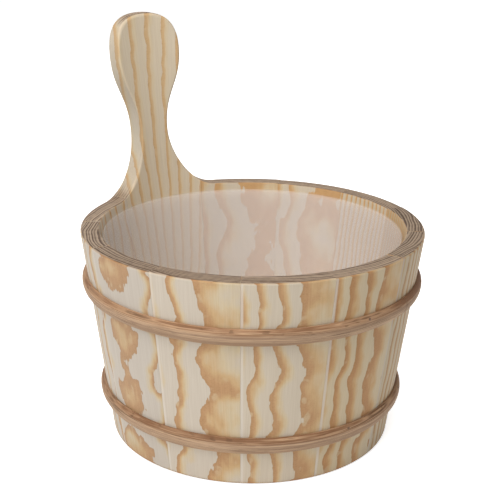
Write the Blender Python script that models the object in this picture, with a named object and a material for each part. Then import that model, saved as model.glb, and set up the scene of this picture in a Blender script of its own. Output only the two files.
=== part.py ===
"""A coopered pine sauna bucket: tapered staves, one of them carried up into a handle, two bent hoops,
a planked bottom let into the staves, and a loose plastic liner. Metres, +Z up, standing on z = 0,
with the handle towards +Y. Angles are in degrees from the handle, anticlockwise from above."""

from math import atan2, cos, degrees, pi, radians, sin, sqrt

import bmesh
import bpy
from mathutils import Matrix, Vector
from mathutils.geometry import interpolate_bezier

# Tub
BODY_HEIGHT = 0.155
RIM_RADIUS = 0.125
BASE_RADIUS = 0.1045
WALL = 0.0135
RIM_CHAMFER = 0.0015
INNER_RIM_CHAMFER = 0.0006
FOOT_CHAMFER = 0.0012
AXIS_Y = -0.0089

# Staves
HANDLE_STAVE_ANGLE = 39.0
STAVE_ANGLE = 28.8
STAVE_COUNT = 10
ARC_STEP = 4.8

# Handle, measured up from the rim and across the board
HANDLE_RISE = 0.1386
HANDLE_THINNING = 0.0034
LOBE_RISE = 0.1108
LOBE_WIDTH = 0.0626
LOBE_SHIFT = 0.0005
NECK_RISE = 0.0480
NECK_WIDTH = 0.0290
SHOULDER_WIDTH = 0.0520
SHOULDER_REACH = 0.0240
NECK_REACH = 0.0240
CLOSING_SHOULDER_REACH = 0.0180
CLOSING_NECK_REACH = 0.0210
GRIP_REACH = 0.0290
CROWN_REACH = 0.0200
HANDLE_ROUNDING = 0.0027
ROUNDING_SEGMENTS = 4
BEZIER_POINTS = 10
SWEEP_POINTS = 14
SHORTEST_STEP = 0.8

# Bottom
CHIME_DEPTH = 0.0100
BOTTOM_THICKNESS = 0.0100
CROZE_DEPTH = 0.0040
MIDDLE_PLANK_WIDTH = 0.0660

# Hoops
HOOP_WIDTH = 0.0122
HOOP_THICKNESS = 0.0047
UPPER_HOOP_DROP = 0.0390
LOWER_HOOP_HEIGHT = 0.0322
UPPER_JOINT_ANGLE = 197.0
LOWER_JOINT_ANGLE = 195.0
HOOP_JOINT_GAP = 0.0006
HOOP_STEPS = 75
HOOP_PROFILE_STEPS = 8

# Brads, placed from each hoop's joint
BRAD_OFFSETS = (-20.0, 20.0, 150.0)
BRAD_RISE = 0.0040
BRAD_LENGTH = 0.0120
BRAD_RADIUS = 0.0006
BRAD_HEAD_RADIUS = 0.0011
BRAD_HEAD_HEIGHT = 0.0006
BRAD_SIDES = 12

# Liner
LINER_DROP = 0.0047
LINER_CLEARANCE = 0.0020
LINER_WALL = 0.0015
LINER_FLOOR = 0.0016
LINER_CORNER = 0.0080
LINER_STEPS = 75
CORNER_STEPS = 4

# Clearances
GAP = 0.0003
BRAD_CLEARANCE = 0.00015

PINE = ("pine", (0.78, 0.66, 0.47), 0.55, 0.0)
BOTTOM_PINE = ("bottom_pine", (0.74, 0.61, 0.42), 0.6, 0.0)
HOOP_WOOD = ("hoop_wood", (0.44, 0.29, 0.18), 0.6, 0.0)
STEEL = ("brad_steel", (0.35, 0.32, 0.29), 0.4, 1.0)
LINER_PLASTIC = ("liner_plastic", (0.80, 0.76, 0.72), 0.35, 0.0)

TAPER = (RIM_RADIUS - BASE_RADIUS) / BODY_HEIGHT


def outer_radius(height):
    return BASE_RADIUS + TAPER * height


def inner_radius(height):
    return outer_radius(height) - WALL


def around(radius, angle, height):
    """A point at an angle in degrees from the handle."""
    turn = radians(angle)
    return Vector((-radius * sin(turn), radius * cos(turn), height))


def clear_scene():
    for item in list(bpy.data.objects):
        bpy.data.objects.remove(item, do_unlink=True)


def principled(name, colour, roughness, metallic):
    material = bpy.data.materials.get(name) or bpy.data.materials.new(name)
    material.use_nodes = True
    shader = material.node_tree.nodes["Principled BSDF"]
    shader.inputs["Base Color"].default_value = (*colour, 1.0)
    shader.inputs["Roughness"].default_value = roughness
    shader.inputs["Metallic"].default_value = metallic
    return material


def finish(bm, name, material, parent, smooth_angle=30.0):
    """Turns a bmesh into a named object on the bucket's axis."""
    bmesh.ops.recalc_face_normals(bm, faces=bm.faces)
    mesh = bpy.data.meshes.new(name)
    bm.to_mesh(mesh)
    bm.free()
    mesh.materials.append(principled(*material))
    mesh.shade_smooth()
    mesh.set_sharp_from_angle(angle=radians(smooth_angle))
    item = bpy.data.objects.new(name, mesh)
    item.parent = parent
    bpy.context.scene.collection.objects.link(item)
    return item


def cut(item, cutter):
    modifier = item.modifiers.new("cut by " + cutter.name, "BOOLEAN")
    modifier.operation = "DIFFERENCE"
    modifier.object = cutter


def as_cutter(item):
    item.hide_render = True
    item.display_type = "WIRE"
    return item


def turned(profile, start, end, steps):
    """Sweeps a closed (radius, height) outline about the axis from one angle to another."""
    bm = bmesh.new()
    face = bm.faces.new([bm.verts.new(around(radius, start, height)) for radius, height in profile])
    bmesh.ops.spin(bm, geom=[face], cent=(0, 0, 0), axis=(0, 0, 1), angle=radians(end - start), steps=steps)
    return bm


def croze_heights():
    return CHIME_DEPTH - GAP, CHIME_DEPTH + BOTTOM_THICKNESS + GAP


def stave_profile():
    """The section through a stave, with the croze that holds the bottom."""
    low, high = croze_heights()
    return [
        (outer_radius(0) - FOOT_CHAMFER, 0),
        (outer_radius(FOOT_CHAMFER), FOOT_CHAMFER),
        (outer_radius(BODY_HEIGHT - RIM_CHAMFER), BODY_HEIGHT - RIM_CHAMFER),
        (outer_radius(BODY_HEIGHT) - RIM_CHAMFER, BODY_HEIGHT),
        (inner_radius(BODY_HEIGHT) + INNER_RIM_CHAMFER, BODY_HEIGHT),
        (inner_radius(BODY_HEIGHT - INNER_RIM_CHAMFER), BODY_HEIGHT - INNER_RIM_CHAMFER),
        (inner_radius(high), high),
        (inner_radius(high) + CROZE_DEPTH, high),
        (inner_radius(low) + CROZE_DEPTH, low),
        (inner_radius(low), low),
        (inner_radius(0), 0),
    ]


def seam_inset():
    """Half of the gap between two staves, as an angle at the narrowest part of the tub."""
    return 0.5 * GAP / inner_radius(0) * 180 / pi


def on_board(half_width, height):
    """A place on the handle board as (angle, height), from a half width measured along its middle."""
    middle = outer_radius(height) - WALL / 2
    return Vector((degrees(half_width / middle), height, 0))


def shoulder_sweep(shoulder_reach, neck_reach):
    """The curve that leaves the rim on a neighbouring stave and runs in and up to the handle's neck."""
    neck_height = BODY_HEIGHT + NECK_RISE
    return interpolate_bezier(
        on_board(SHOULDER_WIDTH, BODY_HEIGHT), on_board(SHOULDER_WIDTH - shoulder_reach, BODY_HEIGHT),
        on_board(NECK_WIDTH / 2, neck_height - neck_reach), on_board(NECK_WIDTH / 2, neck_height),
        SWEEP_POINTS)


def swept_height(sweep, angle):
    """A sweep's height at an angle from the handle's middle, or the rim's where it has run out."""
    for outer, inner in zip(sweep, sweep[1:]):
        if inner.x <= angle <= outer.x:
            return outer.y + (inner.y - outer.y) * (outer.x - angle) / (outer.x - inner.x)
    return BODY_HEIGHT


def raise_rim(bm, sweep):
    """Carries a stave's rim up along the sweep, keeping to the tub's taper."""
    for vert in bm.verts:
        if vert.co.z < BODY_HEIGHT - 2 * RIM_CHAMFER:
            continue
        angle = degrees(atan2(-vert.co.x, vert.co.y))
        rise = swept_height(sweep, abs(angle)) - BODY_HEIGHT
        vert.co = around(vert.co.xy.length + TAPER * rise, angle, vert.co.z + rise)


def plain_staves(parent):
    """Ten staves of one width, and a last one cut to the width that is left, as (stave, start, end)."""
    staves = []
    first = HANDLE_STAVE_ANGLE / 2
    last = 360 - HANDLE_STAVE_ANGLE / 2
    sweeps = {0: shoulder_sweep(SHOULDER_REACH, NECK_REACH),
              STAVE_COUNT: shoulder_sweep(CLOSING_SHOULDER_REACH, CLOSING_NECK_REACH)}
    starts = [first + i * STAVE_ANGLE for i in range(STAVE_COUNT + 1)]
    for i, start in enumerate(starts):
        closing = i == STAVE_COUNT
        end = last if closing else start + STAVE_ANGLE
        name = "closing_stave" if closing else f"stave_{i + 1:02d}"
        steps = round((end - start) / ARC_STEP)
        if i in sweeps:
            bm = turned(stave_profile(), start + seam_inset(), end - seam_inset(), 2 * steps)
            raise_rim(bm, sweeps[i])
        else:
            bm = turned(stave_profile(), start + seam_inset(), end - seam_inset(), steps)
        staves.append((finish(bm, name, PINE, parent), start, end))
    return staves


def handle_outline():
    """The handle stave's outline as (angle, height) points, anticlockwise from its lower left corner."""
    side = HANDLE_STAVE_ANGLE / 2 - seam_inset()
    neck = NECK_WIDTH / 2
    neck_height = BODY_HEIGHT + NECK_RISE
    lobe_height = BODY_HEIGHT + LOBE_RISE
    top_height = BODY_HEIGHT + HANDLE_RISE

    def flank(shift, shoulder_reach, neck_reach):
        """One side from the foot up to the crown, which stands aside by a shift."""
        sweep = shoulder_sweep(shoulder_reach, neck_reach)
        points = [Vector((side, 0, 0)), Vector((side, swept_height(sweep, side), 0))]
        points.extend(point for point in sweep[:-1] if point.x < side - SHORTEST_STEP)
        lobe = LOBE_WIDTH / 2 + shift
        curves = (
            ((neck, neck_height), (neck, neck_height + GRIP_REACH), (lobe, lobe_height - GRIP_REACH),
             (lobe, lobe_height)),
            ((lobe, lobe_height), (lobe, lobe_height + CROWN_REACH), (shift + CROWN_REACH, top_height),
             (shift, top_height)),
        )
        for curve in curves:
            points.extend(interpolate_bezier(*(on_board(*point) for point in curve), BEZIER_POINTS)[:-1])
        return points

    first = flank(-LOBE_SHIFT, SHOULDER_REACH, NECK_REACH)
    last = flank(LOBE_SHIFT, CLOSING_SHOULDER_REACH, CLOSING_NECK_REACH)
    mirrored = [Vector((-point.x, point.y, 0)) for point in reversed(last)]
    return first + [on_board(-LOBE_SHIFT, top_height)] + mirrored


def thinning(height):
    """How far the outer face is planed back, from nothing at the neck to the most at the crown."""
    share = (height - BODY_HEIGHT - NECK_RISE) / (HANDLE_RISE - NECK_RISE)
    share = min(max(share, 0.0), 1.0)
    return HANDLE_THINNING * share * share * (3 - 2 * share)


def bend_to_tub(bm):
    """Carries a flat board, drawn as (angle, depth, height), onto the tub's taper."""
    for vert in bm.verts:
        angle, depth, height = vert.co
        planed = depth + thinning(height) * (1 - depth / WALL)
        vert.co = around(outer_radius(height) - planed, angle, height)


def cut_croze(bm):
    """Sinks the groove for the bottom across the back of a flat board drawn as (across, depth, height)."""
    low, high = croze_heights()
    floor = WALL - CROZE_DEPTH
    for point, normal in (((0, 0, low), (0, 0, 1)), ((0, 0, high), (0, 0, 1)), ((0, floor, 0), (0, 1, 0))):
        parts = bm.verts[:] + bm.edges[:] + bm.faces[:]
        bmesh.ops.bisect_plane(bm, geom=parts, dist=1e-7, plane_co=point, plane_no=normal)

    def in_groove(face):
        middle = face.calc_center_median()
        return low < middle.z < high and middle.y > floor

    bmesh.ops.delete(bm, geom=[face for face in bm.faces if in_groove(face)], context="FACES")
    side = max(vert.co.x for vert in bm.verts)
    for (near, first), (far, second) in (((floor, low), (floor, high)), ((floor, low), (WALL, low)),
                                         ((floor, high), (WALL, high))):
        points = ((-side, near, first), (side, near, first), (side, far, second), (-side, far, second))
        bm.faces.new([min(bm.verts, key=lambda vert: (vert.co - Vector(point)).length) for point in points])
    bmesh.ops.recalc_face_normals(bm, faces=bm.faces)


def handle_stave(parent):
    """One board: a stave below and, above the rim, the handle with its rounded edges."""
    bm = bmesh.new()
    angle_scale = (outer_radius(BODY_HEIGHT + NECK_RISE) - WALL / 2) * pi / 180
    outline = [Vector((point.x * angle_scale, 0, point.y)) for point in handle_outline()]
    face = bm.faces.new([bm.verts.new(point) for point in outline])
    back = bmesh.ops.extrude_face_region(bm, geom=[face])
    moved = [item for item in back["geom"] if isinstance(item, bmesh.types.BMVert)]
    bmesh.ops.translate(bm, vec=(0, WALL, 0), verts=moved)
    bmesh.ops.recalc_face_normals(bm, faces=bm.faces)

    def on_handle(edge):
        flat = abs(edge.verts[0].co.y - edge.verts[1].co.y) < GAP
        return flat and min(vert.co.z for vert in edge.verts) > BODY_HEIGHT - GAP

    def on_foot(edge):
        outside = max(vert.co.y for vert in edge.verts) < GAP
        return outside and max(vert.co.z for vert in edge.verts) < GAP

    bmesh.ops.bevel(bm, geom=[edge for edge in bm.edges if on_handle(edge)], offset=HANDLE_ROUNDING,
                    segments=ROUNDING_SEGMENTS, profile=0.5, affect="EDGES", material=-1)
    bmesh.ops.bevel(bm, geom=[edge for edge in bm.edges if on_foot(edge)], offset=FOOT_CHAMFER,
                    segments=1, profile=0.5, affect="EDGES", material=-1)
    cut_croze(bm)
    for vert in bm.verts:
        vert.co.x /= angle_scale
    steps = round(HANDLE_STAVE_ANGLE / ARC_STEP)
    for i in range(1, steps):
        place = HANDLE_STAVE_ANGLE * (i / steps - 0.5)
        parts = bm.verts[:] + bm.edges[:] + bm.faces[:]
        bmesh.ops.bisect_plane(bm, geom=parts, dist=1e-7, plane_co=(place, 0, 0), plane_no=(1, 0, 0))
    bend_to_tub(bm)
    return finish(bm, "handle_stave", PINE, parent)


def bottom_planks(parent):
    """Three boards, edge to edge, with their round edge in the croze."""
    low, high = CHIME_DEPTH, CHIME_DEPTH + BOTTOM_THICKNESS
    spans = (
        (None, -MIDDLE_PLANK_WIDTH / 2 - GAP / 2),
        (-MIDDLE_PLANK_WIDTH / 2 + GAP / 2, MIDDLE_PLANK_WIDTH / 2 - GAP / 2),
        (MIDDLE_PLANK_WIDTH / 2 + GAP / 2, None),
    )
    steps = round(360 / ARC_STEP)
    for i, span in enumerate(spans):
        bm = bmesh.new()
        loops = []
        for height in (low, high):
            radius = inner_radius(height) + CROZE_DEPTH - GAP
            loops.append([bm.verts.new(around(radius, j * 360 / steps, height)) for j in range(steps)])
            bm.faces.new(loops[-1])
        for j in range(steps):
            bm.faces.new((loops[0][j - 1], loops[0][j], loops[1][j], loops[1][j - 1]))
        for limit, side in zip(span, (-1, 1)):
            if limit is not None:
                trim_to_plane(bm, limit, side)
        finish(bm, f"bottom_plank_{i + 1}", BOTTOM_PINE, parent)


def trim_to_plane(bm, limit, side):
    """Saws a plank along a plane square to Y, keeps the other side and closes the sawn face."""
    parts = bm.verts[:] + bm.edges[:] + bm.faces[:]
    sawn = bmesh.ops.bisect_plane(bm, geom=parts, dist=1e-7, plane_co=(0, limit, 0),
                                  plane_no=(0, side, 0), clear_outer=True)
    edges = [item for item in sawn["geom_cut"] if isinstance(item, bmesh.types.BMEdge)]
    bmesh.ops.contextual_create(bm, geom=edges)


def hoop_bulge(rise):
    """How far a half-round hoop stands out at a height above its middle."""
    return HOOP_THICKNESS * sqrt(1 - (2 * rise / HOOP_WIDTH) ** 2)


def hoop_profile(middle):
    """A half-round section whose flat side lies along the staves."""
    points = []
    for i in range(HOOP_PROFILE_STEPS + 1):
        turn = pi * i / HOOP_PROFILE_STEPS
        height = middle - HOOP_WIDTH / 2 * cos(turn)
        points.append((outer_radius(height) + GAP + HOOP_THICKNESS * sin(turn), height))
    return points


def brad_profile(clearance, head_reach):
    """A brad's half section from its point to its head, as (radius, distance from the head's outer face)."""
    shank = BRAD_RADIUS + clearance
    head = BRAD_HEAD_RADIUS + clearance
    seat = BRAD_HEAD_HEIGHT + clearance
    return ((shank / 3, BRAD_LENGTH + clearance), (shank, BRAD_LENGTH - 2 * BRAD_RADIUS), (shank, seat),
            (head, seat), (head, -head_reach))


def brad(name, angle, height, face_radius, clearance, head_reach, parent):
    """A brad driven level towards the axis, its head's outer face at a radius."""
    bm = bmesh.new()
    rings = []
    for radius, depth in brad_profile(clearance, head_reach):
        ring = []
        for j in range(BRAD_SIDES):
            turn = 2 * pi * j / BRAD_SIDES
            ring.append(bm.verts.new((radius * cos(turn), face_radius - depth, height + radius * sin(turn))))
        rings.append(ring)
    for low, high in zip(rings, rings[1:]):
        for j in range(BRAD_SIDES):
            bm.faces.new((low[j - 1], low[j], high[j], high[j - 1]))
    bm.faces.new(rings[0])
    bm.faces.new(rings[-1])
    bmesh.ops.rotate(bm, verts=bm.verts, cent=(0, 0, 0), matrix=Matrix.Rotation(radians(angle), 3, "Z"))
    return finish(bm, name, STEEL, parent)


def hoop_with_brads(name, middle, joint_angle, staves, parent):
    """A bent strip with an open joint, pinned to the staves behind it by brads in their own holes."""
    opening = HOOP_JOINT_GAP / outer_radius(middle) * 180 / pi
    start = joint_angle + opening / 2
    bm = turned(hoop_profile(middle), start, start + 360 - opening, HOOP_STEPS)
    hoop = finish(bm, name, HOOP_WOOD, parent, smooth_angle=50.0)
    height = middle + BRAD_RISE
    face_radius = outer_radius(height) + GAP + hoop_bulge(BRAD_RISE)
    for i, offset in enumerate(BRAD_OFFSETS):
        angle = (joint_angle + offset) % 360
        brad_name = f"{name}_brad_{i + 1}"
        brad(brad_name, angle, height, face_radius, 0.0, 0.0, parent)
        hole = as_cutter(brad(brad_name + "_hole", angle, height, face_radius, BRAD_CLEARANCE,
                              HOOP_THICKNESS, parent))
        cut(hoop, hole)
        cut(stave_behind(staves, angle), hole)


def stave_behind(staves, angle):
    """The stave that an angle falls on."""
    for stave, start, end in staves:
        if start <= angle < end or start <= angle - 360 < end:
            return stave
    raise ValueError(f"no stave at {angle} degrees")


def liner_profile():
    """The section through the liner's wall and floor, inside then outside, from the axis to the axis."""
    floor = CHIME_DEPTH + BOTTOM_THICKNESS + GAP
    edge = BODY_HEIGHT - LINER_DROP

    def wall_radius(height):
        return inner_radius(height) - LINER_CLEARANCE

    def corner(bottom, wall, radius):
        """A rounded corner from the floor up into the wall."""
        start = Vector((wall_radius(bottom) - wall - radius, bottom, 0))
        knee = Vector((wall_radius(bottom) - wall, bottom, 0))
        end = Vector((wall_radius(bottom + radius) - wall, bottom + radius, 0))
        points = interpolate_bezier(start, start.lerp(knee, 0.56), end.lerp(knee, 0.56), end,
                                    CORNER_STEPS + 1)
        return [(point.x, point.y) for point in points]

    outside = corner(floor, 0.0, LINER_CORNER)
    inside = corner(floor + LINER_FLOOR, LINER_WALL, LINER_CORNER - LINER_WALL)
    third = LINER_WALL / 3
    lip = [(wall_radius(edge), edge - third), (wall_radius(edge) - third, edge),
           (wall_radius(edge) - 2 * third, edge), (wall_radius(edge) - 3 * third, edge - third)]
    return outside + lip + list(reversed(inside))


def liner(parent):
    """A thin tapered pot that stands loose on the bottom."""
    profile = liner_profile()
    bm = bmesh.new()
    verts = [bm.verts.new(around(radius, 0.0, height)) for radius, height in profile]
    edges = [bm.edges.new(pair) for pair in zip(verts, verts[1:])]
    bmesh.ops.spin(bm, geom=edges, cent=(0, 0, 0), axis=(0, 0, 1), angle=2 * pi, steps=LINER_STEPS,
                   use_merge=True)
    rims = [edge for edge in bm.edges if edge.is_boundary]
    bmesh.ops.holes_fill(bm, edges=rims, sides=0)
    return finish(bm, "liner", LINER_PLASTIC, parent)


def main():
    clear_scene()
    axis = bpy.data.objects.new("bucket_axis", None)
    axis.location = (0, AXIS_Y, 0)
    bpy.context.scene.collection.objects.link(axis)
    half = HANDLE_STAVE_ANGLE / 2
    staves = plain_staves(axis)
    staves.append((handle_stave(axis), -half, half))
    bottom_planks(axis)
    hoop_with_brads("upper_hoop", BODY_HEIGHT - UPPER_HOOP_DROP, UPPER_JOINT_ANGLE, staves, axis)
    hoop_with_brads("lower_hoop", LOWER_HOOP_HEIGHT, LOWER_JOINT_ANGLE, staves, axis)
    liner(axis)


main()
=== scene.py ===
"""Looks of a coopered pine sauna bucket: staves, handle, bent hoops, brads, planked bottom and liner.
Metres, +Z up, standing on z = 0, with the handle towards +Y. Angles are in degrees from the handle,
anticlockwise from above, unless a name says that they are seen from the camera."""

from math import atan, atan2, cos, degrees, pi, radians, sin, sqrt
from random import Random
from typing import NamedTuple

import bmesh
import bpy
from bpy.props import FloatProperty, FloatVectorProperty, IntProperty, PointerProperty
from mathutils import Matrix, Vector, noise
from mathutils.geometry import interpolate_bezier


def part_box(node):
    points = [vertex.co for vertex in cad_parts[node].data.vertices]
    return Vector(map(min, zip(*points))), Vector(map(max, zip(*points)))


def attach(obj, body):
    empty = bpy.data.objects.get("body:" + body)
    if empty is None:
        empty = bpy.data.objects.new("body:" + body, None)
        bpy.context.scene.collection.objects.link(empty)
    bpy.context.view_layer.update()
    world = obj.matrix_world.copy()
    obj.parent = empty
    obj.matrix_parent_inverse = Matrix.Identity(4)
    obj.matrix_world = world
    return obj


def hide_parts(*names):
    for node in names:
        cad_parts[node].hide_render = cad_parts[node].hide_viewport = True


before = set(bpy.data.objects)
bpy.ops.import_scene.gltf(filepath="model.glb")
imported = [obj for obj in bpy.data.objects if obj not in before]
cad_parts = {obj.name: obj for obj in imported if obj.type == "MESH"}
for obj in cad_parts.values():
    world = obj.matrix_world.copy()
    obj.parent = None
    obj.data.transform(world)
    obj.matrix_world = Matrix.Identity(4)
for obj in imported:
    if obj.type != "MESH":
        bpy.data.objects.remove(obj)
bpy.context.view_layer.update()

bl_info = {
    "name": "Coopered bucket",
    "version": (1, 0, 0),
    "blender": (4, 5, 0),
    "location": "View3D > Sidebar > Bucket",
    "description": "Builds a pine sauna bucket with a stave handle, bent hoops and a plastic liner",
    "category": "Object",
}

# Places on the tub that the frame fixes
BODY_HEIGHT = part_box("stave_05")[1].z
HANDLE_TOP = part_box("handle_stave")[1].z
RIM_RADIUS = 0.125
BASE_RADIUS = 0.1045
TAPER = (RIM_RADIUS - BASE_RADIUS) / BODY_HEIGHT
TILT = atan(TAPER)
AXIS = Vector((0, -0.0089, 0))
WALL = 0.0135
HANDLE_STAVE_ANGLE = 39.0
STAVE_ANGLE = 28.8
STAVE_COUNT = 10
CHIME_DEPTH = 0.0100
BOTTOM_THICKNESS = 0.0100
CROZE_DEPTH = 0.0040
GAP = 0.0003
SKIN = 0.00008
CROZE_LOW = CHIME_DEPTH - GAP
CROZE_HIGH = CHIME_DEPTH + BOTTOM_THICKNESS + GAP
TOUCHING = 1e-7

# Handle outline, up the board and across it. A shoulder reaches in along the rim and down from the neck
HANDLE_THINNING = 0.0034
LOBE_HEIGHT = BODY_HEIGHT + 0.1108
LOBE_WIDTH = 0.0626
LOBE_SHIFT = 0.0005
NECK_HEIGHT = BODY_HEIGHT + 0.0480
NECK_WIDTH = 0.0290
SHOULDER_WIDTH = 0.0520
SHOULDER_REACHES = {"stave_01": (0.0240, 0.0240), "closing_stave": (0.0180, 0.0210)}
SHOULDER_STEPS = 36
GRIP_REACH = 0.0290
CROWN_REACH = 0.0200
LOBE_STEPS = 26
# The rim's rounding starts to grow into the handle's at this rise, and is full after this run
ROUNDING_RISE = 0.003
ROUNDING_RUN = 0.008

# Hoops: middle height and angle of the joint
HOOP_WIDTH = 0.0122
HOOP_THICKNESS = 0.0047
HOOP_SEAT = 0.00005
HOOP_SKIN = 0.00015
HOOP_FULLNESS = 0.8
HOOP_SECTION_STEPS = 16
HOOP_JOINT_GAP = 0.0006
HOOP_WANDER_RATE = 2.2
HOOPS = {"upper_hoop": (0.1160, 197.0), "lower_hoop": (0.0322, 195.0)}

# Brads: angles from a hoop's joint, and the outline from the head to the point as (radius, depth)
BRAD_OFFSETS = (-20.0, 20.0, 150.0)
BRAD_RISE = 0.0040
BRAD_HEAD_RADIUS = 0.0011
BRAD_LENGTH = 0.0120
BRAD_RADIUS = 0.0006
BRAD_STEPS = 24
BRAD_OUTLINE = (
    (0.0, -0.00025), (BRAD_HEAD_RADIUS * 0.6, -0.00015), (BRAD_HEAD_RADIUS, 0.0002),
    (BRAD_HEAD_RADIUS, 0.0005), (BRAD_RADIUS, 0.0006), (BRAD_RADIUS, BRAD_LENGTH - 0.0012),
    (0.0, BRAD_LENGTH),
)

# Bottom
PLANK_HALF_WIDTH = 0.033
PLANK_SEAM = 0.0001
PLANK_ARRIS = 0.0005
BOTTOM_PLAY = 0.0005
BOTTOM_STEPS = 240

# Liner
LINER_DROP = 0.0047
LINER_EDGE = BODY_HEIGHT - LINER_DROP
LINER_CLEARANCE = 0.0020
LINER_WALL = 0.0015
LINER_FLOOR = 0.0016
LINER_CORNER = 0.0080
LINER_LIP_STEPS = 6

# Woods: tints that darken them (the hoop top's tint is painted shade), the rings inside the tub, and the
# handle's grain per metre of height
FIBRE_TINT = (0.42, 0.29, 0.17)
FLECK_TINT = (0.55, 0.40, 0.25)
EDGE_AND_FOOT_TINT = (0.66, 0.45, 0.26)
HANDLE_SIDE_TINT = (0.74, 0.76, 0.80)
HOOP_TOP_PAINTED_SHADE = (0.78, 0.64, 0.52)
INNER_RING = (0.60, 0.37, 0.17)
HANDLE_GRAIN_SPREAD = 4.0

# Camera, fitted to the photograph: the tub's axis is at the origin and the camera stands towards -Y
CAMERA_DISTANCE = 0.8271
CAMERA_ELEVATION = 21.8047
CAMERA_AIM_HEIGHT = 0.090
CAMERA_YAW = -0.1205
CAMERA_PITCH = 2.8929
CAMERA_ROLL = 0.8007
CAMERA_LENS = 79.30
CAMERA_SENSOR = 36.0
# Turns what is seen from the camera's side into the bucket's own frame
CAMERA_SIDE = Matrix.Rotation(radians(-42.0), 3, "Z")

# Lamps, seen from the camera's side: place, width, power and colour
LAMPS = {
    "key": ((-0.86, -0.98, 1.18), 1.2, 11.9, (1.0, 0.985, 0.965)),
    "back": ((-0.55, 1.50, 0.70), 1.2, 5.0, (1.0, 0.985, 0.965)),
    "top": ((-0.13, -0.51, 1.54), 1.0, 16.6, (1.0, 0.98, 0.95)),
}
LAMP_AIM = Vector((0, 0, 0.10))
BLACK = (0.0, 0.0, 0.0)
WHITE = (1.0, 1.0, 1.0)
FILL_LIGHT = (0.27, 0.27, 0.27)
FLOOR_PAPER = (0.88, 0.88, 0.88)
FLOOR_GLOW = 0.76
FLOOR_SIZE = 4.0
FLOOR_HEIGHT = -0.0004


def srgb(red, green, blue):
    """A colour as seen on the screen, from 0 to 255, made linear."""
    def linear(value):
        share = value / 255
        return share / 12.92 if share <= 0.04045 else ((share + 0.055) / 1.055) ** 2.4
    return linear(red), linear(green), linear(blue)


def colour_property(name, description, default):
    return FloatVectorProperty(name=name, description=description, subtype="COLOR", size=3,
                               min=0.0, max=1.0, default=default)


def length_property(name, description, default):
    return FloatProperty(name=name, description=description, subtype="DISTANCE", unit="LENGTH",
                         min=0.0, precision=5, default=default)


class BucketSizes(bpy.types.PropertyGroup):
    """Small sizes of the finish, which the frame leaves open."""

    rim_rounding: length_property("Rim rounding", "Rounding of the outer rim", 0.0016)
    inner_rounding: length_property("Inner rounding", "Rounding of the inner rim", 0.0007)
    foot_rounding: length_property("Foot rounding", "Rounding of the foot", 0.0012)
    handle_rounding: length_property("Handle rounding", "Rounding of the handle's edges", 0.0027)
    seam: length_property("Seam", "Open seam between two staves", 0.00005)
    arris: length_property("Arris", "Softened edge along a seam", 0.00010)
    unevenness: length_property("Unevenness", "How far the staves differ in height", 0.0004)
    hoop_unevenness: length_property("Hoop unevenness", "How far a hoop wanders", 0.0003)
    arc_step: FloatProperty(name="Arc step", description="Degrees between two edges of a stave",
                            min=0.4, max=6.0, default=1.2)
    hoop_steps: IntProperty(name="Hoop steps", description="Steps round a hoop", min=60, max=720,
                            default=300)
    liner_steps: IntProperty(name="Liner steps", description="Steps round the liner", min=60, max=720,
                             default=180)


class BucketColours(bpy.types.PropertyGroup):
    """Colours of the woods, the brads and the liner, and the light painted on the hoops."""

    pale_wood: colour_property("Pale wood", "Earlywood just after a ring", srgb(209, 200, 188))
    cream_wood: colour_property("Cream wood", "Earlywood further on", srgb(213, 196, 164))
    honey_wood: colour_property("Honey wood", "Start of the latewood", srgb(208, 176, 133))
    brown_wood: colour_property("Brown wood", "Latewood at the ring", srgb(194, 154, 113))
    end_wood: colour_property("End grain", "Sawn ends of the staves", srgb(159, 139, 118))
    end_ring: colour_property("End rings", "Rings on the sawn ends", srgb(74, 53, 37))
    hoop_pale: colour_property("Pale hoop", "Light streaks of a hoop", srgb(193, 161, 130))
    hoop_dark: colour_property("Dark hoop", "Dark streaks of a hoop", srgb(132, 98, 72))
    # Painted light: a paler colour laid on the hoops' front and lower faces
    hoop_painted_light: colour_property("Hoop painted light", "Light painted on a hoop's front and lower faces", srgb(188, 164, 140))
    brad_steel: colour_property("Brad", "Blued steel of the brads", srgb(104, 82, 66))
    liner_milk: colour_property("Liner", "Milky plastic of the liner", srgb(249, 244, 243))


class Wire:
    """A shader socket whose sums add Math nodes."""

    def __init__(self, graph, socket):
        self.graph = graph
        self.socket = socket

    def maths(self, operation, *values):
        return self.graph.node("ShaderNodeMath", {"operation": operation}, dict(enumerate(values)))

    def __add__(self, other):
        return self.maths("ADD", self, other)

    def __radd__(self, other):
        return self.maths("ADD", other, self)

    def __sub__(self, other):
        return self.maths("SUBTRACT", self, other)

    def __rsub__(self, other):
        return self.maths("SUBTRACT", other, self)

    def __mul__(self, other):
        return self.maths("MULTIPLY", self, other)

    def __rmul__(self, other):
        return self.maths("MULTIPLY", other, self)

    def __truediv__(self, other):
        return self.maths("DIVIDE", self, other)

    def __rtruediv__(self, other):
        return self.maths("DIVIDE", other, self)

    def __pow__(self, other):
        return self.maths("POWER", self, other)

    def part(self):
        """What is left above the last whole number."""
        return self.maths("FRACT", self)

    def absolute(self):
        return self.maths("ABSOLUTE", self)

    def cosine(self):
        return self.maths("COSINE", self)

    def clamped(self):
        return self.maths("MINIMUM", self.maths("MAXIMUM", self, 0.0), 1.0)


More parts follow.
